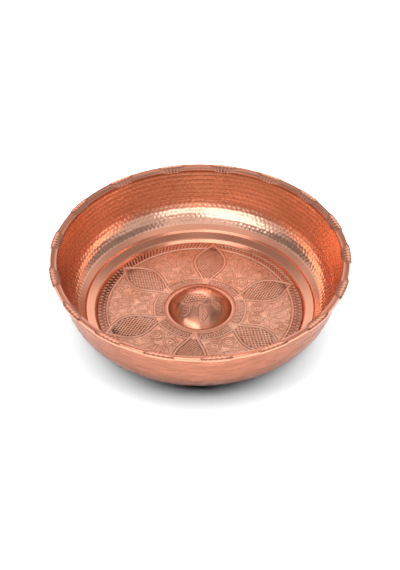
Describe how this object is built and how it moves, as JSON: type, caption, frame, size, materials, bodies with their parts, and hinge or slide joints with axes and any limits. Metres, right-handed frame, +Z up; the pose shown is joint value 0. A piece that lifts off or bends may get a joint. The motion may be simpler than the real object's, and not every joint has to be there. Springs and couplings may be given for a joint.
{
  "type": "hammam bowl",
  "caption": "Shallow copper hammam bowl with a hammered wall, scalloped fluted rim, stepped floor with a petal-chased disc and a domed centre boss hollow below for a fingertip.",
  "frame": {"origin": "middle of the flat base, on the surface the bowl stands on", "axes": "+Z up along the bowl's axis, +Y away from the picture's camera, +X to its right"},
  "size_m": [0.1996, 0.1996, 0.049],
  "materials": {
    "hammered_copper": "raised copper, hammered inside, brushed outside",
    "rim_copper": "polished copper with punched flutes",
    "chased_copper": "satin copper, chased ornament darkened in the recesses",
    "polished_copper": "polished copper with fine engraving"
  },
  "bodies": {
    "root": {"bowl_shell": "hammered_copper", "rim_band": "rim_copper", "floor_disc": "chased_copper", "centre_boss": "polished_copper"}
  },
  "joints": []
}
